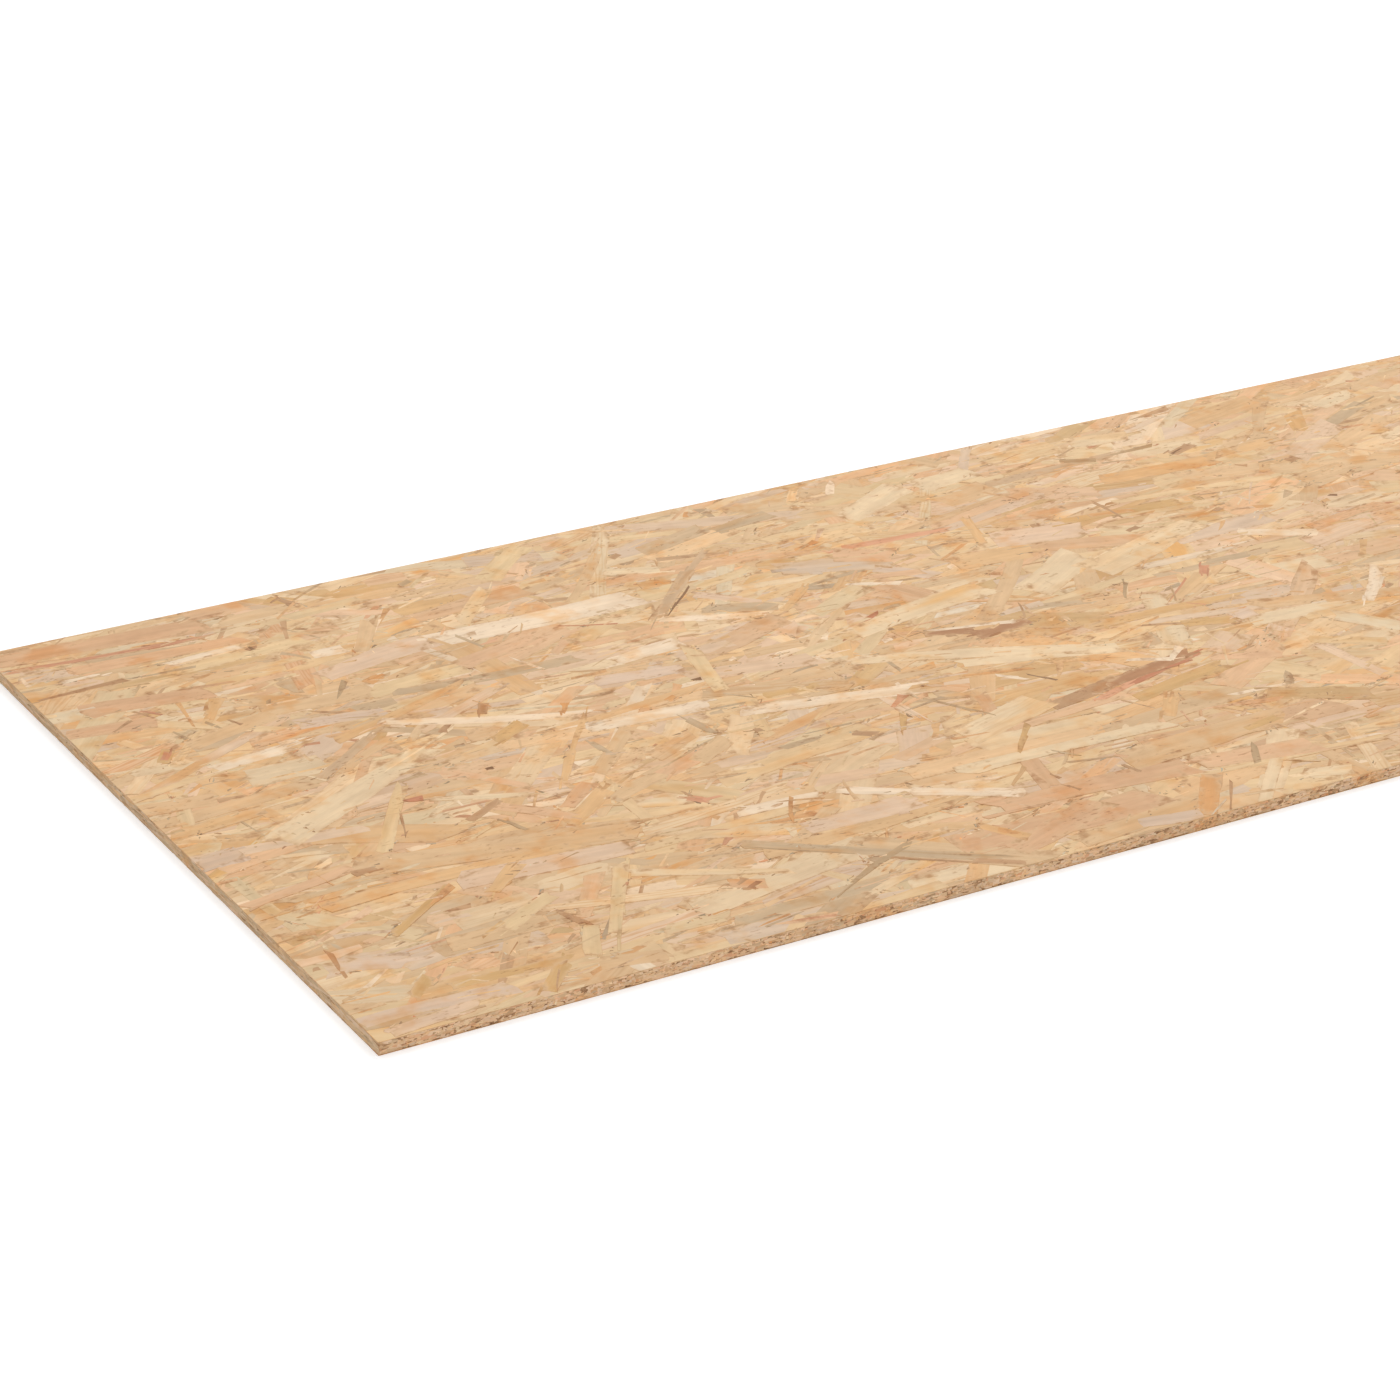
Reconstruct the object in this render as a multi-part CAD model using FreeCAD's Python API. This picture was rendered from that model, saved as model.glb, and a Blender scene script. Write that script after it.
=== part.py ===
"""Oriented strand board: one sawn panel of pressed wood strands.

The panel lies flat. Its length runs along X, its width along Y and its
thickness along Z. The origin is the middle of the underside, so the panel
rests on the plane Z = 0.
"""
import FreeCAD, Part
import os

# Driving dimensions, in millimetres.
PANEL_LENGTH = 1220.0      # half of a 2440 mm full sheet, along X
PANEL_WIDTH = 610.0        # half of a 1220 mm full sheet, along Y
PANEL_THICKNESS = 9.0      # nominal board thickness, along Z

NODE = "osb_board"


def make_panel(length, width, thickness):
    """Return the sawn panel as one solid, centred on X and Y, resting on Z = 0.

    All four edges are saw cut square to the faces, so every corner is sharp.
    """
    near_left_corner = FreeCAD.Vector(-length / 2, -width / 2, 0)
    return Part.makeBox(length, width, thickness, near_left_corner)


panel = make_panel(PANEL_LENGTH, PANEL_WIDTH, PANEL_THICKNESS)

os.makedirs("parts", exist_ok=True)
panel.exportStep(os.path.join("parts", NODE + ".step"))
print(NODE, "volume in cubic metres:", panel.Volume * 1e-9)
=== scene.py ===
"""Oriented strand board: the looks of one pressed panel with sawn edges.

Every face of the panel is built from its own strands. A strand is a thin closed blade of wood.
Strands are laid one after the other, as the mat is laid before it is pressed, and each one lies
a little higher than whatever it crosses. What reaches past the edge of a side is sawn off there.
"""
import math
from collections import namedtuple

import bmesh
import bpy
import numpy as np
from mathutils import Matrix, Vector


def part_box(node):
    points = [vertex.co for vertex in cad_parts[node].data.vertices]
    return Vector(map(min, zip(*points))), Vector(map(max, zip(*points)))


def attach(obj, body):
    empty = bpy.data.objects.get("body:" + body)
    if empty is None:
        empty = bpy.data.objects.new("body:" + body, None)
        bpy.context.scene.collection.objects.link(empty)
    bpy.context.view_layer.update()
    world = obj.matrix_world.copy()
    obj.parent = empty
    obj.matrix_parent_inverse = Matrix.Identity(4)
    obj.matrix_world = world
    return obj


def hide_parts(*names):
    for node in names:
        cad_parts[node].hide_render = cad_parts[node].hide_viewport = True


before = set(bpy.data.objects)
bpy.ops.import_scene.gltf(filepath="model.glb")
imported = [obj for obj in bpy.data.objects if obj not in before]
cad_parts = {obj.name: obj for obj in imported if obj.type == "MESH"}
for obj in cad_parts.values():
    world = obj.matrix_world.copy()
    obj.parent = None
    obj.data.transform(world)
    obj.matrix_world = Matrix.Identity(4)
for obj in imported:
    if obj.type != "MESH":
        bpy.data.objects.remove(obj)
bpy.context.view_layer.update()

NODE = "osb_board"
BODY = "root"
MM = 0.001

LOW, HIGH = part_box(NODE)
LENGTH, WIDTH, THICKNESS = HIGH - LOW
TOP = HIGH.z

FACE_RELIEF = 0.55 * MM       # from the lowest laid strand of a face to the highest
EDGE_RELIEF = 0.30 * MM       # the same on a sawn edge
TEAR = 0.28 * MM              # how far back from an edge the saw may have torn a strand
BLADE = 0.30 * MM             # thickness of the blades that make the faces
CHIP = 0.30 * MM              # and of the chips that make the sawn edges
FACE_FLARE = 0.25 * MM        # how far a blade's underside stands out past its top
EDGE_FLARE = 0.08 * MM        # and a chip's
FACE_CELL = 1.25 * MM         # cell of the grid on which a face's crossing strands are counted
EDGE_CELL = 0.40 * MM         # and of a sawn edge's
UNEVEN = 0.25                 # by how many levels a strand may lie off its own
GRAIN_STEP = 0.37             # how far apart two strands lie in the pattern of the grain

# Tones of the wood, as red, green and blue from 0 to 255.
TONES = {
    "cream": (241, 216, 188),
    "pale": (234, 206, 169),
    "straw": (229, 197, 153),
    "tan": (221, 184, 142),
    "peach": (226, 182, 143),
    "clay": (217, 172, 133),
    "pink": (227, 194, 165),
    "lilac": (219, 190, 166),
    "honey": (224, 180, 130),
    "amber": (223, 175, 122),
    "ochre": (212, 170, 116),
    "orange": (217, 160, 104),
    "salmon": (221, 163, 128),
    "rust": (206, 146, 112),
    "red_brown": (196, 130, 96),
    "brown": (190, 148, 110),
    "umber": (180, 132, 95),
    "dull": (206, 172, 137),
    "grey_tan": (199, 171, 138),
    "grey_brown": (178, 152, 124),
    "drab": (186, 155, 119),
    "dark": (138, 102, 70),
    "bark": (104, 74, 50),
}


def linear(rgb):
    """A tone written from 0 to 255 as scene-linear light."""
    share = np.asarray(rgb, float) / 255
    return np.where(share <= 0.04045, share / 12.92, ((share + 0.055) / 1.055) ** 2.4)


# --------------------------------------------------------------------------------------------
# Sides of the panel
# --------------------------------------------------------------------------------------------

# A flat side: its middle, the directions along and across it, the way it looks, and its size.
Side = namedtuple("Side", "middle along across out size")
MIDDLE = (LOW + HIGH) / 2
X, Y, Z = Vector((1, 0, 0)), Vector((0, 1, 0)), Vector((0, 0, 1))


def side(along, across, out, size):
    reach = abs(out.x) * LENGTH / 2 + abs(out.y) * WIDTH / 2 + abs(out.z) * THICKNESS / 2
    return Side(MIDDLE + out * reach, along, across, out, size)


TOP_FACE = side(X, Y, Z, (LENGTH, WIDTH))
UNDERSIDE = side(X, -Y, -Z, (LENGTH, WIDTH))
# The sawn edges show the wood between the strands of the two faces.
BETWEEN = THICKNESS - 1.6 * FACE_RELIEF
NEAR_EDGE = side(X, Z, -Y, (LENGTH, BETWEEN))
FAR_EDGE = side(-X, Z, Y, (LENGTH, BETWEEN))
LEFT_END = side(-Y, Z, -X, (WIDTH, BETWEEN))
RIGHT_END = side(Y, Z, X, (WIDTH, BETWEEN))

# --------------------------------------------------------------------------------------------
# Strand blanks: unit blades, one long, one wide and one thick, with their top at height 0
# --------------------------------------------------------------------------------------------

Blank = namedtuple("Blank", "points flare rim faces")
END = 0.499           # past this, a point of a unit blade is on one of its ends


def cut_blank(cells_long, cells_wide, seed, waver, wedge, ragged):
    """A blade with wavering sides, one end wider than the other and torn, slanting ends, cut from a grid.

    The underside's outline flares out, so the rim of the finished blade slopes. The rim value is 0
    inside the outline, 1 on it and 2 below it.
    """
    rng = np.random.default_rng(seed)
    slope = rng.uniform(-wedge, wedge)
    slant = rng.uniform(-1, 1, 2) * ragged
    mesh = bmesh.new()
    bmesh.ops.create_grid(mesh, x_segments=cells_long, y_segments=cells_wide, size=0.5)
    outline = {vert for vert in mesh.verts if vert.is_boundary}
    for vert in mesh.verts:
        x, y = vert.co.x, vert.co.y
        vert.co.y = y * (1 + slope * x) + rng.normal(0, waver) * (vert in outline)
        if abs(x) > END:
            tear = abs(rng.normal(0, ragged)) + 2 * slant[int(x > 0)] * y
            vert.co.x = x - math.copysign(1, x) * tear
        else:
            vert.co.x = x + rng.uniform(-0.3, 0.3) / cells_long
    raised = bmesh.ops.extrude_face_region(mesh, geom=mesh.faces[:])
    lower = [item for item in raised["geom"] if isinstance(item, bmesh.types.BMVert)]
    bmesh.ops.translate(mesh, verts=lower, vec=(0, 0, -1))
    bmesh.ops.recalc_face_normals(mesh, faces=mesh.faces[:])
    # Undersides come first and tops last, so a flat map of the face shows the tops.
    mesh.faces.sort(key=lambda face: face.normal.z)
    mesh.verts.index_update()
    walls = {vert for face in mesh.faces if abs(face.normal.z) < 0.5 for vert in face.verts}
    points = np.array([vert.co for vert in mesh.verts])
    under = points[:, 2] < -0.5
    rim = np.array([1.0 if vert in walls else 0.0 for vert in mesh.verts]) + under
    flare = np.array([way_out(vert.co, cells_long) for vert in mesh.verts], float)
    flare *= (under & (rim == 2))[:, None]
    faces = np.array([[vert.index for vert in face.verts] for face in mesh.faces])
    mesh.free()
    return Blank(points, flare, rim, faces)


def way_out(place, cells_long):
    """The way out of a blade near its outline, as whole steps along and across it."""
    past_end = abs(place.x) > 0.5 - 0.5 / cells_long
    past_side = abs(place.y) > 0.2
    return (math.copysign(past_end, place.x), math.copysign(past_side, place.y))


STRAND_BLANKS = [cut_blank(4, 2, seed, 0.03, 0.4, 0.04) for seed in range(16)]
SLIVER_BLANKS = [cut_blank(3, 1, 100 + seed, 0.10, 1.0, 0.07) for seed in range(12)]
CHIP_BLANKS = [cut_blank(2, 1, 200 + seed, 0.12, 1.4, 0.14) for seed in range(12)]
BLANKS = STRAND_BLANKS + SLIVER_BLANKS + CHIP_BLANKS
STRANDS = (0, len(STRAND_BLANKS))
SLIVERS = (STRANDS[1], STRANDS[1] + len(SLIVER_BLANKS))
CHIPS = (SLIVERS[1], SLIVERS[1] + len(CHIP_BLANKS))

# --------------------------------------------------------------------------------------------
# Laying strands on a side
# --------------------------------------------------------------------------------------------

# One laid strand: its middle and angle on the side, its size, how far its ends bend across, which
# blank it is cut from, its tone, how striped and resin-stained its wood looks, and how far its rims
# fade into the wood around it.
Strand = namedtuple("Strand", "x y angle length width bend blank tone stripe resin fade")


def pick_blank(rng, group):
    return int(rng.integers(*group))


def lay_heights(strands, size, cell, rng):
    """How many strands lie under each strand, on a grid of cells over the side."""
    cells = math.ceil(size[0] / cell) + 1, math.ceil(size[1] / cell) + 1
    laid = np.zeros(cells, np.int32)
    levels = np.zeros(len(strands))
    for i, s in enumerate(strands):
        cos, sin = math.cos(s.angle), math.sin(s.angle)
        half_long, half_wide = s.length / 2 + cell / 2, s.width / 2 + abs(s.bend) + cell / 2
        reach = (abs(cos) * half_long + abs(sin) * half_wide,
                 abs(sin) * half_long + abs(cos) * half_wide)
        low = [max(0, int((c - r + z / 2) / cell)) for c, r, z in zip((s.x, s.y), reach, size)]
        high = [min(n, int((c + r + z / 2) / cell) + 2)
                for c, r, z, n in zip((s.x, s.y), reach, size, cells)]
        window = laid[low[0]:high[0], low[1]:high[1]]
        dx = (np.arange(low[0], high[0]) * cell - size[0] / 2 - s.x)[:, None]
        dy = (np.arange(low[1], high[1]) * cell - size[1] / 2 - s.y)[None, :]
        under = ((np.abs(dx * cos + dy * sin) <= half_long)
                 & (np.abs(dy * cos - dx * sin) <= half_wide))
        level = window[under].max(initial=0) + 1
        window[under] = level
        levels[i] = level
    return levels + rng.uniform(-UNEVEN, UNEVEN, len(levels))


def trim(points, faces, place, rim, size):
    """Saws a blade off at the outline of its side and closes the cuts.

    A scrap whose cut can't be closed falls away whole.
    """
    mesh = bmesh.new()
    place_layer = mesh.verts.layers.float_vector.new("place")
    rim_layer = mesh.verts.layers.float.new("rim")
    verts = [mesh.verts.new(point) for point in points]
    for vert, where, value in zip(verts, place, rim):
        vert[place_layer] = where
        vert[rim_layer] = value
    for face in faces:
        mesh.faces.new([verts[i] for i in face])
    for axis in (0, 1):
        for way in (-1, 1):
            out = Vector((0, 0, 0))
            out[axis] = way
            if (points[:, axis] * way).max() <= size[axis] / 2:
                continue
            bmesh.ops.bisect_plane(mesh, geom=mesh.verts[:] + mesh.edges[:] + mesh.faces[:],
                                   plane_co=out * size[axis] / 2, plane_no=out, clear_outer=True)
            bmesh.ops.holes_fill(mesh, edges=[edge for edge in mesh.edges if edge.is_boundary], sides=0)
    if any(len(edge.link_faces) != 2 for edge in mesh.edges):
        bmesh.ops.delete(mesh, geom=mesh.verts[:], context="VERTS")
    bmesh.ops.recalc_face_normals(mesh, faces=mesh.faces[:])
    mesh.faces.sort(key=lambda face: face.normal.z)
    mesh.verts.index_update()
    points = np.array([vert.co for vert in mesh.verts]).reshape(-1, 3)
    place = np.array([vert[place_layer] for vert in mesh.verts]).reshape(-1, 3)
    rim = np.array([vert[rim_layer] for vert in mesh.verts])
    faces = [[vert.index for vert in face.verts] for face in mesh.faces]
    mesh.free()
    return points, faces, place, rim


def lay(name, on, strands, depths, thickness, flare):
    """One joined mesh of the strands on a side, with their places, tones and looks as attributes."""
    points, faces, places, tones, looks, rims = [], [], [], [], [], []
    count = 0
    rng = np.random.default_rng(len(strands))
    for number, (s, top) in enumerate(zip(strands, depths)):
        blank = BLANKS[s.blank]
        unit = blank.points
        along = unit[:, 0] * s.length + blank.flare[:, 0] * flare
        across = (unit[:, 1] * s.width + blank.flare[:, 1] * flare
                  + s.bend * (4 * unit[:, 0] ** 2 - 1 / 3))
        cos, sin = math.cos(s.angle), math.sin(s.angle)
        flat = np.stack([along, across], 1) @ [[cos, sin], [-sin, cos]] + (s.x, s.y)
        place = np.column_stack([along, across, np.full(len(unit), number * GRAIN_STEP)])
        shape = np.column_stack([flat, top + unit[:, 2] * thickness]), blank.faces, place, blank.rim
        sawn = np.array(on.size) - 2 * rng.uniform(0, TEAR)
        if (np.abs(flat) > sawn / 2).any():
            shape = trim(*shape, sawn)
        corners, sides, place, rim = shape
        if len(corners) == 0:
            continue
        points.append(corners)
        faces += [[corner + count for corner in face] for face in np.asarray(sides, object).tolist()]
        places.append(place)
        tones.append(np.tile([*s.tone, 1.0], (len(corners), 1)))
        looks.append(np.tile([s.stripe, s.resin, s.fade, 1.0], (len(corners), 1)))
        rims.append(rim)
        count += len(corners)
    axes = np.array([on.along, on.across, on.out])
    flat_points = np.concatenate(points)
    mesh = bpy.data.meshes.new(name)
    mesh.from_pydata((flat_points @ axes + np.array(on.middle)).tolist(), [], faces)
    write(mesh, "place", "FLOAT_VECTOR", "vector", np.concatenate(places))
    write(mesh, "tone", "FLOAT_COLOR", "color", np.concatenate(tones))
    write(mesh, "looks", "FLOAT_COLOR", "color", np.concatenate(looks))
    write(mesh, "rim", "FLOAT", "value", np.concatenate(rims))
    map_side(mesh, flat_points, on.size)
    piece = bpy.data.objects.new(name, mesh)
    bpy.context.scene.collection.objects.link(piece)
    return piece


def write(mesh, name, kind, field, values):
    """Stores one value per vertex under a name."""
    attribute = mesh.attributes.new(name, kind, "POINT")
    attribute.data.foreach_set(field, np.asarray(values, np.float32).ravel())


MAP_ROWS = 8          # a narrow edge is mapped as this many rows, one above the other
MAP_MARGIN = 0.04     # room for strands that reach past the end of their row
ROW_GAP = 0.05        # free share of a row at each of its sides
NARROW = 4            # a side is narrow if it is this many times as long as it is wide


def map_side(mesh, flat_points, size):
    """A flat map of the side. A narrow side is cut into rows."""
    rows = 1 if size[0] < NARROW * size[1] else MAP_ROWS
    u = np.clip(flat_points[:, 0] / size[0] + 0.5, 0, 1)
    v = np.clip(flat_points[:, 1] / size[1] + 0.5, 0, 1)
    corners = np.empty(len(mesh.loops), np.int32)
    mesh.loops.foreach_get("vertex_index", corners)
    if rows > 1:
        groups = strand_middles(mesh, u, corners)
        row = np.clip((groups * rows).astype(int), 0, rows - 1)
        u = np.clip((u[corners] * rows - row + MAP_MARGIN) / (1 + 2 * MAP_MARGIN), 0, 1)
        v = (row + ROW_GAP + (1 - 2 * ROW_GAP) * v[corners]) / rows
    else:
        u, v = u[corners], v[corners]
    layer = mesh.uv_layers.new(name="OFBake", do_init=False)
    layer.uv.foreach_set("vector", np.column_stack([u, v]).astype(np.float32).ravel())


def strand_middles(mesh, u, corners):
    """For each face corner, the middle along the side of the strand that it belongs to."""
    seeds = np.empty(len(mesh.vertices) * 3, np.float32)
    mesh.attributes["place"].data.foreach_get("vector", seeds)
    number = np.rint(seeds.reshape(-1, 3)[:, 2] / GRAIN_STEP).astype(int)
    middle = np.bincount(number, u) / np.maximum(np.bincount(number), 1)
    return middle[number][corners]


# --------------------------------------------------------------------------------------------
# What is laid
# --------------------------------------------------------------------------------------------

# How strands lie: share, mean angle and spread in degrees from the length of the panel.
LIES = [(0.40, 0, 8), (0.19, 13, 9), (0.15, -16, 9), (0.16, 44, 13), (0.05, -46, 14), (0.05, 90, 22)]
# Share of each tone among the strands, slivers and dark fines of a face, the chips of the sawn long
# edges and ends, and the dark chips that paint the shade of gaps beside their creases.
FILL_TONES = {"straw": 26, "tan": 22, "pale": 16, "peach": 11, "pink": 9, "lilac": 4, "cream": 2,
              "honey": 6, "grey_tan": 3, "ochre": 3, "clay": 3}
SLIVER_TONES = {"straw": 18, "tan": 24, "pale": 14, "peach": 11, "pink": 7, "honey": 8, "orange": 3,
                "grey_tan": 8, "grey_brown": 4, "brown": 5, "salmon": 1, "red_brown": 1, "cream": 6}
SPECK_TONES = {"dark": 19, "brown": 36, "grey_brown": 20, "bark": 3, "red_brown": 8, "pale": 10,
               "cream": 8, "honey": 6}
EDGE_TONES = {"pink": 28, "lilac": 16, "peach": 12, "tan": 20, "grey_tan": 14, "brown": 15, "pale": 8,
              "red_brown": 6, "grey_brown": 9, "dark": 4, "salmon": 5}
END_TONES = {"grey_tan": 34, "lilac": 18, "tan": 16, "grey_brown": 22, "pink": 5, "brown": 9, "dark": 2}
CREASE_SHADOW_TONES = {"dark": 1, "brown": 4, "grey_brown": 2}
# How far the tones of each kind stand apart, from 0, all alike, to 1, as they are listed.
FILL_CONTRAST = 0.73
FIGURE_CONTRAST = 0.98
SLIVER_CONTRAST = 0.76
LATE_CONTRAST = 0.6
SPECK_CONTRAST = 0.72
CHIP_CONTRAST = 0.62
CREASE_SHADOW_CONTRAST = 0.8
# Pressed wood soaks up warm resin: this share of its red, green and blue light is left. The sawn
# edges have been cut open, so they show drier wood, and their end grain is a little darker.
RESIN_TINT = np.array([0.99, 0.985, 0.95])
LONG_EDGE_TINT = np.array([1.03, 1.03, 1.02])
END_TINT = np.array([0.945, 0.98, 0.99])
MEAN_TONE = linear((223, 187, 147))


def tone_of(name, contrast=1.0, tint=RESIN_TINT):
    return (MEAN_TONE + contrast * (linear(TONES[name]) - MEAN_TONE)) * tint


def draw_tone(rng, shares, contrast=1.0, spread=0.03, tint=RESIN_TINT):
    """A tone drawn by its share, a little lighter or darker, warmer or cooler."""
    names = list(shares)
    weights = np.array([shares[n] for n in names], float)
    base = tone_of(names[rng.choice(len(names), p=weights / weights.sum())], contrast, tint)
    warmth = rng.normal(0, spread * 0.9)
    return tuple(np.clip(base * (1 + rng.normal(0, spread)) * (1 + warmth, 1, 1 - warmth), 0.01, 0.95))


def draw_lie(rng):
    shares = np.array([lie[0] for lie in LIES])
    _, mean, spread = LIES[rng.choice(len(LIES), p=shares / shares.sum())]
    return math.radians(rng.normal(mean, spread))


def draw_size(rng, low, high):
    """A size between two limits in millimetres; small ones are as common as large ones."""
    return math.exp(rng.uniform(math.log(low), math.log(high))) * MM


def new_strand(rng, place, angle, length, width, group, tone, bend=0.012, stripe=0.35):
    return Strand(x=place[0], y=place[1], angle=angle, length=length, width=min(width, length),
                  bend=rng.normal(0, bend) * length, blank=pick_blank(rng, group), tone=tone,
                  stripe=max(0.0, rng.normal(-0.5, 1)) * stripe, resin=max(0.0, rng.normal(0.0, 0.5)),
                  fade=rng.uniform(0.3, 1.0) * (1.0 if group == STRANDS else 0.3))


def scatter(rng, on, count, lengths, widths, shares, group, contrast=1.0, angle=draw_lie, over=0.0,
            tint=RESIN_TINT):
    """Ordinary strands, thrown at random over a side and up to a little past its edges."""
    strands = []
    for _ in range(count):
        place = [rng.uniform(-0.5, 0.5) * (extent + over) for extent in on.size]
        strands.append(new_strand(rng, place, angle(rng), draw_size(rng, *lengths), draw_size(rng, *widths),
                                  group, draw_tone(rng, shares, contrast, tint=tint)))
    return strands


COAT_PITCH = 62 * MM, 10 * MM            # of the first coat's strands, along and across
COAT_LENGTHS, COAT_WIDTHS = (95, 130), (17, 24)


def first_coat(rng, on):
    """Rows of overlapping strands that leave no gap, for the others to lie on."""
    pitch_along, pitch_across = COAT_PITCH
    strands = []
    for row in range(math.ceil(on.size[1] / pitch_across) + 1):
        for column in range(math.ceil(on.size[0] / pitch_along) + 1):
            place = ((column + rng.uniform(-0.2, 0.2) + 0.5 * (row % 2)) * pitch_along - on.size[0] / 2,
                     (row + rng.uniform(-0.15, 0.15)) * pitch_across - on.size[1] / 2)
            strands.append(new_strand(rng, place, rng.normal(0, 0.05), draw_size(rng, *COAT_LENGTHS),
                                      draw_size(rng, *COAT_WIDTHS), STRANDS,
                                      draw_tone(rng, FILL_TONES, FILL_CONTRAST)))
    return strands


def splinters_of(rng, host, most):
    """Thin splinters of a strand's own wood that break up its sides and ends."""
    splinters = []
    for _ in range(int(rng.integers(0, most + 1))):
        if rng.random() < 0.5:
            along = rng.choice([-1, 1]) * rng.uniform(0.38, 0.55)
            across = rng.uniform(-0.5, 0.5)
        else:
            along = rng.uniform(-0.5, 0.5)
            across = rng.choice([-1, 1]) * rng.uniform(0.42, 0.55)
        place = beside(host, along * host.length, across * host.width)
        shade = 1 + rng.normal(-0.01, 0.045)
        splinters.append(new_strand(
            rng, place, host.angle + rng.normal(0, 0.06), draw_size(rng, 8, 0.5 * host.length / MM + 10),
            draw_size(rng, 0.8, 0.22 * host.width / MM + 1), SLIVERS, tuple(np.array(host.tone) * shade)))
    return splinters


def beside(host, along, across):
    """The place on the side that lies so far along and across a strand from its middle."""
    cos, sin = math.cos(host.angle), math.sin(host.angle)
    return host.x + along * cos - across * sin, host.y + along * sin + across * cos


def with_splinters(rng, hosts, most):
    return [laid for host in hosts for laid in [host] + splinters_of(rng, host, most)]


def specks_by(rng, hosts, count):
    """Dark fines, in clumps beside the ends and sides of the strands laid before them."""
    specks = []
    while len(specks) < count:
        host = hosts[int(rng.integers(len(hosts)))]
        if host.width < 5 * MM:
            continue
        along = rng.choice([-1, 1]) * rng.beta(4, 1.3) * host.length / 2
        across = rng.choice([-1, 1]) * host.width / 2
        for _ in range(int(rng.integers(1, 7))):
            place = beside(host, along + rng.normal(0, 6 * MM), across + rng.normal(0, 1.2 * MM))
            specks.append(new_strand(
                rng, place, host.angle + rng.normal(0, 0.3), draw_size(rng, 1.2, 8),
                rng.uniform(0.4, 1.3) * MM, CHIPS, draw_tone(rng, SPECK_TONES, SPECK_CONTRAST, 0.1),
                bend=0.08))
    return [s for s in specks if abs(s.x) < LENGTH / 2 and abs(s.y) < WIDTH / 2]


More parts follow.
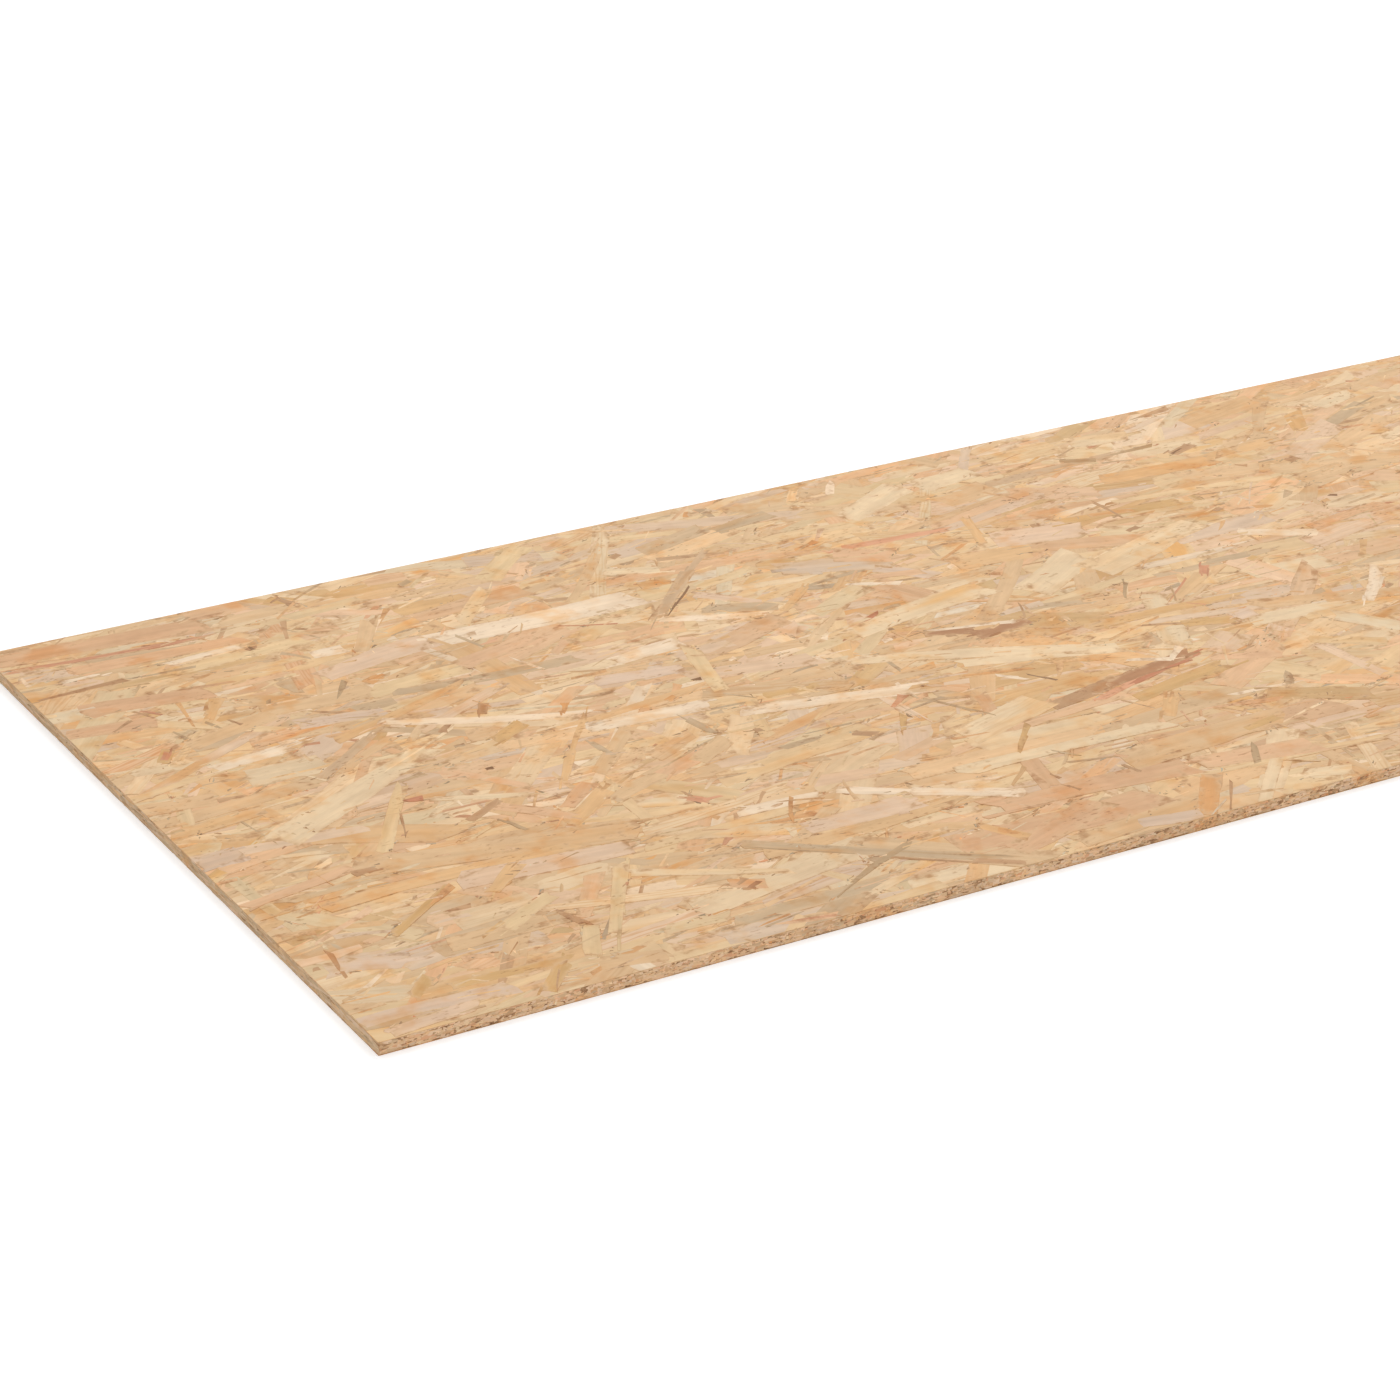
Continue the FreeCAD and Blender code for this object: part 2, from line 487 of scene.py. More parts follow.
# Strands that give this panel its figure, in millimetres from its far left corner: where each one
# starts and ends, its width and its tone, in the order in which they are laid.
FIGURE = [
    (260, 406, 312, 384, 14, "tan"), (302, 392, 352, 372, 14, "peach"), (330, 386, 366, 364, 14, "tan"),
    (268, 370, 322, 315, 11, "tan"), (228, 403, 258, 378, 11, "peach"), (84, 528, 152, 528, 17, "tan"),
    (124, 180, 205, 184, 18, "tan"), (196, 186, 274, 180, 18, "straw"), (222, 124, 252, 74, 11, "tan"),
    (268, 176, 336, 158, 18, "peach"), (20, 152, 62, 158, 10, "tan"), (148, 590, 188, 600, 14, "tan"),
    (396, 566, 560, 576, 30, "clay"), (430, 592, 520, 560, 22, "clay"), (455, 534, 600, 545, 20, "clay"),
    (470, 600, 575, 590, 18, "tan"), (560, 520, 700, 512, 26, "tan"), (600, 545, 690, 560, 20, "peach"),
    (20, 120, 110, 132, 20, "clay"), (60, 205, 130, 185, 16, "tan"), (0, 150, 60, 158, 16, "clay"),
    (0, 16, 152, 26, 22, "clay"), (36, 58, 165, 62, 15, "peach"), (96, 90, 205, 85, 16, "straw"),
    (180, 147, 272, 126, 22, "pink"), (28, 70, 59, 70, 4, "cream"), (99, 77, 158, 73, 7, "cream"),
    (0, 37, 149, 48, 5.5, "rust"), (0, 90, 70, 86, 4.5, "brown"), (66, 87, 122, 90, 3.5, "grey_tan"),
    (190, 112, 216, 112, 13, "cream"), (174, 97, 190, 118, 3.5, "grey_tan"),
    (270, 132, 437, 133, 26, "cream"), (430, 132, 464, 130, 22, "straw"),
    (421, 174, 484, 108, 9, "dull"), (458, 134, 515, 80, 5.5, "dull"),
    (436, 167, 472, 132, 1.6, "dark"), (301, 114, 346, 65, 12, "pale"), (350, 55, 405, 6, 18, "straw"),
    (386, 118, 443, 49, 8, "tan"), (429, 81, 468, 96, 12, "pale"), (439, 117, 462, 118, 13, "honey"),
    (452, 115, 463, 121, 8, "amber"), (465, 148, 500, 184, 9, "pink"),
    (456, 173, 508, 196, 15, "grey_tan"), (423, 175, 492, 205, 10, "cream"),
    (502, 207, 539, 175, 7, "honey"), (355, 150, 399, 169, 2, "red_brown"),
    (210, 194, 256, 200, 10, "grey_tan"), (266, 202, 346, 205, 12, "grey_tan"),
    (134, 208, 195, 218, 14, "lilac"), (142, 246, 262, 201, 9, "honey"), (61, 244, 120, 236, 12, "cream"),
    (114, 291, 171, 246, 8, "dull"), (51, 360, 195, 282, 22, "pale"),
    (177, 230, 310, 290, 10, "cream"), (234, 295, 264, 278, 12, "ochre"), (303, 177, 314, 209, 2, "cream"),
    (289, 128, 297, 158, 2.5, "grey_tan"), (360, 222, 417, 215, 16, "cream"),
    (333, 244, 398, 254, 14, "lilac"), (399, 301, 417, 224, 12, "straw"),
    (541, 248, 561, 238, 3.5, "red_brown"), (597, 127, 690, 135, 8, "salmon"),
    (586, 134, 624, 159, 24, "peach"), (598, 169, 632, 205, 14, "lilac"), (590, 183, 628, 193, 9, "peach"),
    (632, 81, 701, 45, 24, "pale"), (708, 122, 691, 173, 7, "honey"), (701, 169, 775, 183, 30, "pink"),
    (754, 74, 882, 70, 10, "dull"), (834, 61, 860, 73, 7, "drab"),
    (868, 70, 916, 68, 4, "drab"), (762, 163, 866, 174, 11, "ochre"),
    (788, 164, 824, 170, 7, "orange"), (808, 143, 808, 184, 2.6, "brown"), (520, 262, 650, 236, 22, "pale"),
    (669, 264, 742, 220, 30, "pale"), (565, 286, 600, 299, 10, "umber"), (594, 307, 642, 302, 12, "umber"),
    (567, 283, 640, 301, 5, "cream"), (742, 325, 784, 292, 1.8, "rust"),
    (794, 296, 805, 282, 6.5, "rust"), (488, 352, 602, 366, 5, "honey"), (602, 366, 655, 382, 5, "honey"),
    (557, 340, 671, 372, 14, "pale"), (392, 333, 514, 360, 15, "cream"), (293, 307, 382, 313, 15, "cream"),
    (571, 429, 634, 416, 13, "brown"), (626, 446, 716, 428, 13, "ochre"),
    (602, 435, 668, 415, 5, "salmon"),
    (640, 424, 712, 404, 6, "red_brown"), (622, 418, 706, 402, 12, "umber"),
    (708, 415, 756, 435, 10, "peach"),
    (482, 378, 500, 364, 5, "salmon"), (630, 478, 651, 453, 10, "honey"), (461, 480, 626, 486, 13, "pale"),
    (492, 453, 598, 459, 18, "pale"), (498, 440, 575, 415, 26, "pale"), (514, 476, 546, 440, 3.5, "ochre"),
    (651, 479, 712, 492, 4, "peach"), (728, 478, 742, 459, 5, "grey_tan"),
    (635, 565, 653, 538, 4, "drab"), (563, 608, 603, 561, 13, "orange"),
    (582, 608, 606, 576, 1.6, "brown"), (0, 427, 84, 410, 9, "peach"), (74, 412, 256, 450, 26, "tan"),
    (40, 447, 213, 451, 14, "honey"), (123, 458, 238, 470, 20, "pink"), (0, 319, 67, 312, 13, "honey"),
    (102, 405, 157, 319, 9, "straw"), (244, 368, 303, 287, 3, "honey"), (244, 370, 270, 331, 6, "honey"),
    (219, 425, 262, 392, 12, "honey"), (184, 314, 224, 366, 9, "peach"), (189, 376, 228, 418, 10, "peach"),
    (266, 419, 301, 431, 13, "pale"), (299, 428, 309, 439, 6.5, "rust"), (306, 436, 321, 436, 3, "salmon"),
    (314, 461, 374, 466, 12, "cream"), (384, 463, 427, 492, 10, "cream"), (422, 488, 486, 527, 12, "cream"),
    (337, 490, 358, 455, 3, "orange"), (335, 502, 421, 502, 20, "pink"),
    (290, 496, 430, 602, 10, "grey_tan"), (293, 503, 345, 543, 1.5, "drab"),
    (352, 551, 420, 603, 1.6, "brown"), (372, 556, 428, 596, 2.5, "drab"), (404, 588, 431, 607, 6, "brown"),
    (325, 577, 394, 545, 5, "drab"), (461, 323, 419, 320, 9, "ochre"),
    (386, 395, 421, 393, 5, "grey_tan"), (358, 325, 362, 356, 5, "grey_tan"),
    (287, 325, 290, 352, 4, "grey_tan"), (520, 297, 518, 335, 3, "grey_tan"),
    (470, 411, 484, 388, 4, "ochre"), (507, 374, 528, 413, 2.5, "drab"),
    (61, 502, 120, 459, 6, "ochre"), (95, 480, 120, 461, 4, "orange"), (17, 535, 22, 497, 3.2, "brown"),
    (157, 516, 165, 543, 4, "brown"), (171, 567, 222, 484, 9, "straw"), (120, 527, 167, 500, 12, "straw"),
    (167, 390, 199, 372, 6, "brown"), (187, 400, 193, 419, 3, "drab"), (0, 362, 30, 360, 20, "lilac"),
    (18, 518, 57, 533, 16, "lilac"), (39, 573, 59, 555, 9, "ochre"), (150, 580, 167, 545, 11, "straw"),
    (216, 498, 305, 547, 8, "pale"), (161, 350, 220, 376, 6, "pale"), (75, 419, 91, 419, 7, "brown"),
    # Knots, resin stains, sticks, and thin dark strands that paint the shade of slits beside some strands.
    (150, 82, 171, 79, 6, "tan"), (156, 82, 166, 79, 4, "brown"), (160, 77, 161, 84, 2.5, "dark"),
    (203, 8, 219, 20, 12, "ochre"), (212, 12, 217, 27, 6, "brown"), (204, 15, 214, 9, 2.5, "brown"),
    (295, 32, 306, 26, 6, "drab"), (46, 146, 63, 140, 6, "clay"), (28, 161, 48, 148, 2.2, "brown"),
    (52, 136, 58, 148, 2.4, "brown"), (44, 141, 68, 146, 2, "brown"), (56, 138, 64, 146, 2.4, "rust"),
    (92, 168, 108, 144, 9, "amber"), (38, 219, 50, 201, 9, "ochre"),
    (40, 216, 48, 205, 5.5, "rust"), (62, 177, 66, 194, 2.6, "drab"),
    (86, 174, 91, 190, 2.4, "drab"), (100, 178, 105, 191, 2.4, "brown"),
    (203, 171, 216, 165, 9, "orange"), (247, 253, 255, 238, 6, "brown"),
    (174, 187, 192, 160, 3, "drab"), (144, 344, 158, 346, 4.5, "red_brown"),
    (124, 392, 139, 352, 0.8, "brown"), (301, 418, 303, 427, 1.8, "brown"),
    (136, 482, 167, 455, 10, "honey"), (262, 541, 283, 553, 12, "clay"), (266, 546, 275, 540, 4, "brown"),
    (270, 554, 281, 547, 4.5, "umber"), (266, 551, 271, 555, 2.6, "brown"),
    (255, 599, 298, 607, 4.5, "peach"), (268, 600, 300, 608, 2.4, "salmon"),
    (107, 606, 134, 577, 10, "ochre"),
    (112, 607, 127, 583, 1.4, "brown"), (0, 584, 96, 590, 13, "lilac"), (8, 604, 70, 598, 11, "pink"),
    (60, 572, 140, 577, 9, "ochre"), (447, 62, 456, 57, 6, "brown"), (400, 76, 407, 73, 6, "honey"),
    (536, 53, 590, 44, 14, "grey_tan"), (497, 297, 655, 364, 15, "pale"),
    (548, 358, 598, 371, 3.2, "orange"), (569, 367, 585, 386, 3, "cream"),
    (587, 376, 602, 397, 2.4, "dark"), (603, 393, 619, 371, 3.5, "tan"), (438, 398, 454, 407, 6, "brown"),
    (513, 511, 516, 521, 2.4, "brown"), (513, 530, 517, 541, 2.4, "brown"),
    (561, 523, 565, 538, 2.4, "brown"), (565, 509, 571, 516, 3.5, "clay"),
    (434, 550, 452, 580, 9, "amber"), (441, 560, 449, 573, 4.5, "orange"),
    (650, 590, 684, 601, 14, "pale"), (520, 597, 562, 606, 13, "lilac"),
    (916, 91, 943, 82, 9, "brown"), (917, 91, 932, 84, 2, "dark"), (838, 110, 940, 116, 19, "amber"),
    (961, 109, 999, 106, 16, "honey"), (728, 252, 850, 214, 28, "pale"),
    (721, 303, 739, 279, 2.6, "drab"), (862, 243, 914, 274, 13, "cream"),
    (808, 279, 846, 281, 8, "grey_tan"), (838, 291, 847, 288, 7, "ochre"), (711, 53, 766, 45, 24, "pale"),
    (860, 33, 914, 41, 20, "pale"), (966, 218, 973, 222, 4, "dark"), (984, 147, 995, 143, 9, "brown"),
    (944, 133, 952, 140, 4, "brown"), (874, 203, 883, 199, 5, "brown"), (795, 203, 808, 199, 5, "brown"),
    (728, 360, 764, 371, 11, "ochre"), (659, 391, 689, 406, 5, "cream"), (685, 406, 705, 389, 5, "cream"),
    (864, 393, 911, 344, 9, "cream"), (914, 323, 934, 300, 5, "honey"), (660, 520, 692, 514, 7, "ochre"),
    (386, 364, 392, 364, 5, "brown"), (741, 159, 748, 160, 5, "brown"), (567, 114, 592, 107, 5, "orange"),
    (361, 296, 370, 292, 6, "orange"), (333, 190, 352, 173, 7, "peach"), (292, 280, 302, 264, 4, "orange"),
    (211, 266, 221, 256, 5, "brown"), (210, 329, 216, 329, 4, "dark"), (4, 516, 9, 516, 4, "brown"),
    (766, 369, 785, 366, 14, "lilac"), (390, 274, 398, 275, 3, "dark"), (566, 186, 604, 204, 5, "cream"),
]


BROAD = 5                     # a figure strand wider than this, in millimetres, is no sliver


def figured(rng):
    """The strands of FIGURE as laid strands on the top face, each with splinters of its own."""
    strands = []
    for x0, y0, x1, y1, width, tone in FIGURE:
        along = Vector((x1 - x0, y0 - y1)) * MM
        place = Vector((x0 + x1, -(y0 + y1))) / 2 * MM + Vector((-LENGTH / 2, WIDTH / 2))
        group = STRANDS if width > BROAD else SLIVERS
        strand = new_strand(rng, place, math.atan2(along.y, along.x), along.length, width * MM, group,
                            tuple(tone_of(tone, FIGURE_CONTRAST)), stripe=0.12)
        strands += [strand] + splinters_of(rng, strand, 4 if width > BROAD else 1)
    return strands


# How many strands, slivers, dark fines and late slivers are thrown on a face.
STRAND_COUNT, SLIVER_COUNT, SPECK_COUNT, LATE_COUNT = 1500, 2300, 3500, 600
RECENT = 2500                 # fines gather beside this many of the strands laid last
EARLY_SHARE = 0.65            # of the fines lie under the figure
OVERHANG = 40 * MM            # how much longer and wider than the face the throw is


def face_strands(rng, on, figure, share=1.0):
    """All strands of one wide face, from the lowest to the highest, or only a share of them."""
    thrown = scatter(rng, on, int(STRAND_COUNT * share), (45, 165), (7, 26), FILL_TONES, STRANDS,
                     FILL_CONTRAST, over=OVERHANG)
    main = with_splinters(rng, thrown, 3)
    slivers = scatter(rng, on, int(SLIVER_COUNT * share), (8, 70), (1.1, 5.5), SLIVER_TONES, SLIVERS,
                      SLIVER_CONTRAST)
    order = np.sort(rng.integers(len(main) // 3, len(main), len(slivers)))
    mixed, cut = [], 0
    for sliver, stop in zip(slivers, order):
        mixed += main[cut:stop] + [sliver]
        cut = stop
    mixed += main[cut:]
    specks = specks_by(rng, mixed[-RECENT:] + figure, int(SPECK_COUNT * share))
    late_slivers = scatter(rng, on, int(LATE_COUNT * share), (6, 36), (0.8, 2.8), SLIVER_TONES, SLIVERS,
                           LATE_CONTRAST)
    early = int(EARLY_SHARE * len(specks))
    return first_coat(rng, on) + mixed + specks[:early] + figure + late_slivers + specks[early:]


# --------------------------------------------------------------------------------------------
# Materials
# --------------------------------------------------------------------------------------------


class Net:
    """A node tree with short ways to add nodes to it."""

    def __init__(self, tree):
        self.tree = tree

    def add(self, kind, inputs=(), **settings):
        node = self.tree.nodes.new("ShaderNode" + kind)
        for name, value in settings.items():
            setattr(node, name, value)
        for name, value in dict(inputs).items():
            self.feed(node.inputs[name], value)
        return node

    def feed(self, socket, value):
        if isinstance(value, bpy.types.NodeSocket):
            self.tree.links.new(value, socket)
        else:
            socket.default_value = value

    def math(self, operation, first, second=0.0, clamp=False):
        node = self.add("Math", {0: first, 1: second}, operation=operation)
        node.use_clamp = clamp
        return node.outputs[0]

    def remap(self, value, low, high, to_low=0.0, to_high=1.0, smooth=False):
        node = self.add("MapRange", {"Value": value, "From Min": low, "From Max": high,
                                     "To Min": to_low, "To Max": to_high})
        node.interpolation_type = "SMOOTHSTEP" if smooth else "LINEAR"
        return node.outputs["Result"]

    def mix(self, share, first, second, blend="MIX"):
        node = self.add("Mix", data_type="RGBA", blend_type=blend)
        for socket, value in zip((node.inputs[0], node.inputs[6], node.inputs[7]), (share, first, second)):
            self.feed(socket, value)
        return node.outputs[2]

    def tint(self, share, base, rgb):
        """The base colour, filtered by a tint where the share is high."""
        return self.mix(share, base, self.mix(1.0, base, colour(rgb), "MULTIPLY"))

    def lighten(self, base, factor):
        """The base colour times a factor that changes over the surface."""
        grey = self.add("CombineColor", {0: factor, 1: factor, 2: factor}).outputs[0]
        return self.mix(1.0, base, grey, "MULTIPLY")

    def noise(self, vector, scale, detail=2.0, roughness=0.5):
        node = self.add("TexNoise", {"Vector": vector, "Scale": scale, "Detail": detail,
                                     "Roughness": roughness}, noise_dimensions="3D")
        return node.outputs["Fac"]

    def stretched(self, vector, scale):
        return self.add("VectorMath", {0: vector, 1: scale}, operation="MULTIPLY").outputs[0]


def colour(rgb):
    return (*linear(rgb), 1.0)


def group(name, inputs, outputs, build):
    """A shader node group, built once from its named sockets."""
    tree = bpy.data.node_groups.new(name, "ShaderNodeTree")
    for kind, socket, default in inputs:
        made = tree.interface.new_socket(socket, in_out="INPUT", socket_type="NodeSocket" + kind)
        if default is not None:
            made.default_value = default
    for kind, socket in outputs:
        tree.interface.new_socket(socket, in_out="OUTPUT", socket_type="NodeSocket" + kind)
    net = Net(tree)
    entry, end = tree.nodes.new("NodeGroupInput"), tree.nodes.new("NodeGroupOutput")
    for socket, value in build(net, entry.outputs).items():
        tree.links.new(value, end.inputs[socket])
    return tree


def build_grain(net, given):
    """Fibres, growth rings and resin stains, in a strand's own lengths along and across its grain."""
    place = given["Place"]
    fibre = net.noise(net.stretched(place, (55, 800, 1)), 1.0, 3.0, 0.6)
    streak = net.noise(net.stretched(place, (16, 210, 1)), 1.0, 2.0, 0.55)
    blotch = net.noise(net.stretched(place, (30, 95, 1)), 1.0, 3.0, 0.6)
    stain = net.noise(net.stretched(place, (14, 40, 3)), 1.0, 2.0, 0.5)
    warp = net.noise(net.stretched(place, (12, 90, 1)), 1.0, 2.0, 0.5)
    across = net.add("SeparateXYZ", {0: place}).outputs[1]
    phase = net.math("ADD", net.math("MULTIPLY", across, 1500.0), net.math("MULTIPLY", warp, 34.0))
    ring = net.remap(net.math("SINE", phase), 0.0, 1.0, smooth=True)
    light = net.remap(fibre, 0.3, 0.7, 0.972, 1.028)
    light = net.math("MULTIPLY", light, net.remap(streak, 0.3, 0.7, 0.955, 1.045))
    light = net.math("MULTIPLY", light, net.remap(blotch, 0.3, 0.7, 0.945, 1.055))
    tone = net.lighten(given["Tone"], light)
    tone = net.tint(net.math("MULTIPLY", ring, given["Stripe"], clamp=True), tone, (238, 214, 188))
    amount = net.math("MULTIPLY", net.remap(stain, 0.42, 0.68, smooth=True), given["Resin"], clamp=True)
    tone = net.tint(amount, tone, (252, 226, 186))
    height = net.math("ADD", net.math("MULTIPLY", fibre, 0.5), net.math("MULTIPLY", streak, 0.8))
    return {"Colour": tone, "Height": height}


def build_press(net, given):
    """What pressing leaves: resin clouds over many strands, and painted shade on the strands' rims and
    walls.
    """
    place, rim = given["Place"], given["Rim"]
    cloud = net.noise(place, 7.0, 3.0, 0.55)
    patch = net.noise(place, 34.0, 3.0, 0.6)
    rim_noise = net.noise(place, 90.0, 3.0, 0.65)
    tone = net.lighten(given["Colour"], net.remap(cloud, 0.3, 0.7, 0.95, 1.045))
    tone = net.tint(net.remap(patch, 0.5, 0.72, 0.0, 1.0, smooth=True), tone, (250, 230, 204))
    tone = net.tint(net.remap(patch, 0.47, 0.30, 0.0, 0.6, smooth=True), tone, (244, 240, 238))
    outward = net.math("MINIMUM", rim, 1.0)
    faded = net.math("MULTIPLY", net.math("POWER", outward, 2.5), net.remap(rim_noise, 0.38, 0.62, smooth=True))
    tone = net.mix(net.math("MULTIPLY", faded, given["Fade"]), tone, (*MEAN_TONE * RESIN_TINT, 1.0))
    # Painted shade: near each strand's outline its colour is tinted darker, in patches where the noise
    # allows.
    near_rim = net.math("POWER", outward, given["Sharpness"])
    painted_rim_shade = net.math("MULTIPLY", near_rim, net.remap(rim_noise, 0.46, 0.72, smooth=True), clamp=True)
    tone = net.tint(net.math("MULTIPLY", painted_rim_shade, given["Rim shade"]), tone, (206, 182, 158))
    # Painted shade: the sloping walls below each strand's outline are tinted darker.
    wall = net.math("SUBTRACT", rim, 1.0, clamp=True)
    return {"Colour": net.tint(wall, tone, (226, 210, 192))}


def build_grime(net, given):
    """Small soft dark flecks and dust in the wood, thicker in some places than in others."""
    place = given["Place"]
    where = net.noise(place, 30.0, 2.0, 0.6)
    dots = net.noise(net.stretched(place, (170, 420, 420)), 1.0, 2.0, 0.6)
    thick = net.remap(where, 0.46, 0.64, smooth=True)
    fleck = net.math("MULTIPLY", net.remap(dots, 0.575, 0.70, smooth=True), thick)
    amount = net.math("MULTIPLY", fleck, given["Amount"], clamp=True)
    return {"Colour": net.tint(amount, given["Colour"], (186, 152, 120))}


GRAIN = group("strand grain",
              [("Vector", "Place", None), ("Color", "Tone", None),
               ("Float", "Stripe", 0.0), ("Float", "Resin", 0.0)],
              [("Color", "Colour"), ("Float", "Height")], build_grain)
PRESS = group("resin clouds and painted rim shade",
              [("Vector", "Place", None), ("Color", "Colour", None), ("Float", "Rim", 0.0),
               ("Float", "Fade", 0.5), ("Float", "Sharpness", 6.0), ("Float", "Rim shade", 0.8)],
              [("Color", "Colour")], build_press)
GRIME = group("fine grime",
              [("Vector", "Place", None), ("Color", "Colour", None), ("Float", "Amount", 0.5)],
              [("Color", "Colour")], build_grime)


def use(net, tree, inputs):
    node = net.tree.nodes.new("ShaderNodeGroup")
    node.node_tree = tree
    for name, value in inputs.items():
        net.feed(node.inputs[name], value)
    return node.outputs


def new_material(name, roughness):
    material = bpy.data.materials.new(name)
    material.use_nodes = True
    net = Net(material.node_tree)
    shader = material.node_tree.nodes["Principled BSDF"]
    shader.inputs["Roughness"].default_value = roughness
    shader.inputs["Specular IOR Level"].default_value = 0.2
    return material, net, shader


def wood_material(name, roughness, sharpness, rim_shade, grime, bump):
    """Wood that takes its tone and its grain from the strands' own attributes."""
    material, net, shader = new_material(name, roughness)
    place = net.add("Attribute", attribute_name="place").outputs["Vector"]
    tone = net.add("Attribute", attribute_name="tone").outputs["Color"]
    looks = net.add("Attribute", attribute_name="looks").outputs["Color"]
    rim = net.add("Attribute", attribute_name="rim").outputs["Fac"]
    stripe, resin, fade = net.add("SeparateColor", {0: looks}).outputs
    grain = use(net, GRAIN, {"Place": place, "Tone": tone, "Stripe": stripe, "Resin": resin})
    board_place = net.add("TexCoord").outputs["Object"]
    # Resin clouds over the panel, and painted shade along the rims and walls of the strands.
    pressed = use(net, PRESS, {"Place": board_place, "Colour": grain["Colour"], "Rim": rim, "Fade": fade,
                               "Sharpness": sharpness, "Rim shade": rim_shade})
    dusty = use(net, GRIME, {"Place": board_place, "Colour": pressed["Colour"], "Amount": grime})
    net.feed(shader.inputs["Base Color"], dusty["Colour"])
    rough = net.remap(grain["Height"], 0.4, 0.9, roughness + 0.08, roughness - 0.06)
    net.feed(shader.inputs["Roughness"], rough)
    relief = net.add("Bump", {"Strength": 1.0, "Distance": bump, "Height": grain["Height"]})
    net.feed(shader.inputs["Normal"], relief.outputs["Normal"])
    return material


def core_material():
    """The pressed wood seen in the gaps between strands: brown, coarse and dark in its pits."""
    material, net, shader = new_material("pressed core", 0.8)
    place = net.add("TexCoord").outputs["Object"]
    coarse = net.noise(net.stretched(place, (160, 160, 700)), 1.0, 3.0, 0.6)
    fine = net.noise(net.stretched(place, (700, 700, 1500)), 1.0, 2.0, 0.6)
    base = net.mix(net.remap(coarse, 0.35, 0.65), colour((146, 108, 76)), colour((190, 150, 112)))
    pits = net.remap(fine, 0.55, 0.7, smooth=True)
    net.feed(shader.inputs["Base Color"], net.tint(pits, base, (180, 160, 140)))
    bump = net.add("Bump", {"Strength": 1.0, "Distance": 0.2 * MM, "Height": coarse})
    net.feed(shader.inputs["Normal"], bump.outputs["Normal"])
    return material


FLOOR_LIFT = 0.35             # how much of the floor's white is its own light, as the camera sees it


def white_where_seen(net, unseen, seen):
    """One strength for light that reaches the camera straight or by a reflection, another for the rest."""
    path = net.add("LightPath").outputs
    straight = net.math("MAXIMUM", path["Is Camera Ray"], path["Is Glossy Ray"])
    straight = net.math("MAXIMUM", straight, path["Is Transmission Ray"])
    return net.remap(straight, 0.0, 1.0, unseen, seen)


def floor_material():
    """A pale studio floor that looks white to the camera and still shows the panel's soft shadow."""
    material, net, shader = new_material("studio floor", 0.9)
    shader.inputs["Base Color"].default_value = (0.82, 0.82, 0.82, 1)
    shader.inputs["Specular IOR Level"].default_value = 0.0
    shader.inputs["Emission Color"].default_value = (1, 1, 1, 1)
    net.feed(shader.inputs["Emission Strength"], white_where_seen(net, 0.0, FLOOR_LIFT))
    return material


# --------------------------------------------------------------------------------------------
# Pieces
# --------------------------------------------------------------------------------------------


def placed(name, mesh):
    """A finished bmesh as an object at the origin."""
    data = bpy.data.meshes.new(name)
    mesh.to_mesh(data)
    mesh.free()
    piece = bpy.data.objects.new(name, data)
    bpy.context.scene.collection.objects.link(piece)
    return piece


def finish_piece(piece, material):
    piece.data.materials.append(material)
    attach(piece, BODY)
    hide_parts(NODE)


def pressed_body():
    """The body of the panel under its strands, with its edges a little rounded, as by wear."""
    inset = Vector((EDGE_RELIEF, EDGE_RELIEF, FACE_RELIEF)) + Vector((1, 1, 1)) * 0.1 * MM
    mesh = bmesh.new()
    bmesh.ops.create_cube(mesh, size=1.0)
    bmesh.ops.scale(mesh, verts=mesh.verts[:], vec=Vector((LENGTH, WIDTH, THICKNESS)) - 2 * inset)
    bmesh.ops.translate(mesh, verts=mesh.verts[:], vec=MIDDLE)
    bmesh.ops.bevel(mesh, geom=mesh.edges[:], offset=0.2 * MM, offset_type="OFFSET", affect="EDGES",
                    segments=2, profile=0.5, material=-1)
    return placed("pressed_body", mesh)


def face_pieces(names, rng, on, figure, material, share=1.0):
    """A wide face as several pieces, because one piece can't hold all its strands."""
    strands = face_strands(rng, on, figure, share)
    levels = lay_heights(strands, on.size, FACE_CELL, rng)
    step = FACE_RELIEF / levels.max()
    cuts = np.linspace(0, len(strands), len(names) + 1).astype(int)
    for name, start, stop in zip(names, cuts, cuts[1:]):
        depths = levels[start:stop] * step - FACE_RELIEF
        finish_piece(lay(name, on, strands[start:stop], depths, BLADE, FACE_FLARE), material)


def level_lie(rng):
    return rng.normal(0, 0.06)


def edge_piece(name, rng, on, count, lengths, widths, shares, tint, material):
    """A sawn edge: chips of the strands that were cut through, and dark chips of painted shade at its
    creases.
    """
    strands = scatter(rng, on, count, lengths, widths, shares, CHIPS, CHIP_CONTRAST, level_lie, tint=tint)
    strands += painted_crease_shadows(rng, on)
    levels = lay_heights(strands, on.size, EDGE_CELL, rng)
    depths = levels / levels.max() * EDGE_RELIEF - EDGE_RELIEF
    finish_piece(lay(name, on, strands, depths, CHIP, EDGE_FLARE), material)


CREASE_SHADOW_PITCH = 14 * MM           # mean distance between two painted crease shadows


def painted_crease_shadows(rng, on):
    """Dark chips inside both creases of a sawn edge: painted shade of slits under lifted face strands."""
    gaps = []
    for _ in range(int(on.size[0] / CREASE_SHADOW_PITCH)):
        rise = rng.choice([1, 1, 1, -1]) * (on.size[1] / 2 - rng.uniform(0.4, 1.0) * MM)
        place = (rng.uniform(-0.5, 0.5) * on.size[0], rise)
        gaps.append(new_strand(rng, place, rng.normal(0, 0.03), draw_size(rng, 1.5, 6),
                               rng.uniform(0.3, 0.8) * MM, CHIPS, draw_tone(rng, CREASE_SHADOW_TONES, CREASE_SHADOW_CONTRAST)))
    return gaps


UNDERSIDE_SHARE = 0.7         # the underside's share of the strands of the top face

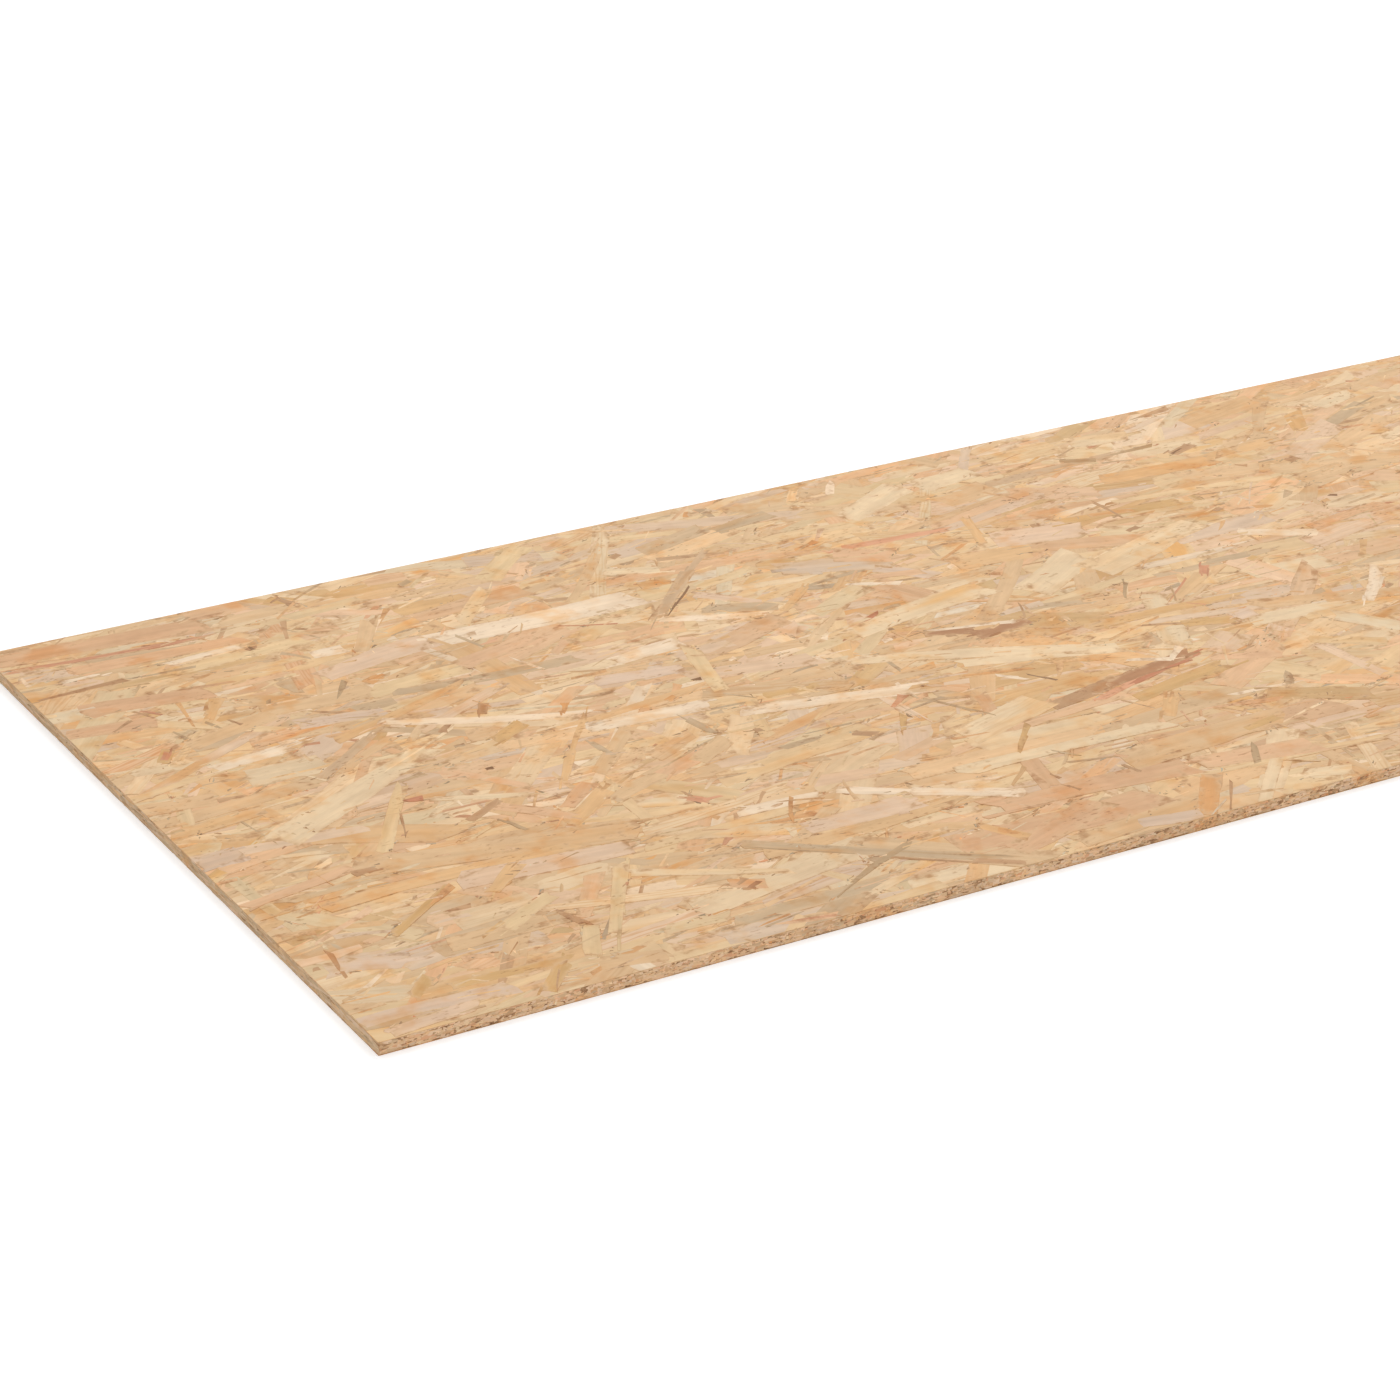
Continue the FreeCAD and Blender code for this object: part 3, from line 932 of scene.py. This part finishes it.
# rim_shade sets the strength of the painted shade along the strands' rims.
face_wood = wood_material("face strand wood", roughness=0.62, sharpness=12.0, rim_shade=0.8, grime=0.55,
                          bump=0.05 * MM)
edge_wood = wood_material("sawn edge wood", roughness=0.8, sharpness=4.0, rim_shade=0.15, grime=0.2,
                          bump=0.06 * MM)

finish_piece(pressed_body(), core_material())
rng = np.random.default_rng(7)
face_pieces(("top_strands_low", "top_strands_mid", "top_strands_high"),
            rng, TOP_FACE, figured(rng), face_wood)
LONG_CHIPS = dict(count=5200, lengths=(1.5, 9), widths=(0.7, 1.7), shares=EDGE_TONES,
                  tint=LONG_EDGE_TINT, material=edge_wood)
END_CHIPS = dict(count=1500, lengths=(5, 28), widths=(0.6, 1.5), shares=END_TONES,
                 tint=END_TINT, material=edge_wood)
edge_piece("near_edge_strands", rng, NEAR_EDGE, **LONG_CHIPS)
edge_piece("left_end_strands", rng, LEFT_END, **END_CHIPS)
edge_piece("far_edge_strands", rng, FAR_EDGE, **LONG_CHIPS)
edge_piece("right_end_strands", rng, RIGHT_END, **END_CHIPS)
face_pieces(("underside_strands_low", "underside_strands_high"),
            rng, UNDERSIDE, [], face_wood, UNDERSIDE_SHARE)

# --------------------------------------------------------------------------------------------
# Floor, light and camera
# --------------------------------------------------------------------------------------------


FLOOR_REACH = 12.0                 # metres from the middle of the floor to its sides


def make_floor():
    mesh = bmesh.new()
    bmesh.ops.create_grid(mesh, x_segments=1, y_segments=1, size=FLOOR_REACH)
    floor = placed("studio_floor", mesh)
    floor.data.materials.append(floor_material())


def area_light(name, place, aim, size, power):
    data = bpy.data.lights.new(name, "AREA")
    data.shape = "DISK"
    data.size = size
    data.energy = power
    lamp = bpy.data.objects.new(name, data)
    lamp.location = place
    lamp.rotation_euler = (Vector(aim) - Vector(place)).to_track_quat("-Z", "Y").to_euler()
    bpy.context.scene.collection.objects.link(lamp)


def white_world(strength):
    """Plain white light from all round, and pure white behind the panel."""
    world = bpy.data.worlds.new("studio")
    world.use_nodes = True
    net = Net(world.node_tree)
    background = world.node_tree.nodes["Background"]
    background.inputs["Color"].default_value = (1, 1, 1, 1)
    net.feed(background.inputs["Strength"], white_where_seen(net, strength, 1.0))
    bpy.context.scene.world = world


CAMERA_FROM_AIM = 2.538            # metres from the aimed point to the camera
AIM_FROM_LEFT = 0.3796             # metres from the left end to the aimed point, on the middle line
CAMERA_SIDE, CAMERA_RISE = math.radians(-30.03), math.radians(24.31)
LENS, SENSOR = 99.92, 36.0


def make_camera():
    back = Vector((math.sin(CAMERA_SIDE) * math.cos(CAMERA_RISE),
                   -math.cos(CAMERA_SIDE) * math.cos(CAMERA_RISE), math.sin(CAMERA_RISE)))
    data = bpy.data.cameras.new("camera")
    data.lens, data.sensor_width = LENS, SENSOR
    camera = bpy.data.objects.new("camera", data)
    camera.location = Vector((LOW.x + AIM_FROM_LEFT, MIDDLE.y, TOP)) + back * CAMERA_FROM_AIM
    camera.rotation_euler = (-back).to_track_quat("-Z", "Y").to_euler()
    bpy.context.scene.collection.objects.link(camera)
    bpy.context.scene.camera = camera


make_floor()
make_camera()
white_world(strength=0.78)
area_light("key light", place=(1.2, 1.45, 2.75), aim=(0.3, 0, 0), size=1.7, power=30)
area_light("fill light", place=(-1.5, -2.4, 0.7), aim=(-0.2, 0, 0), size=1.2, power=10)
bpy.context.scene.view_settings.view_transform = "Standard"
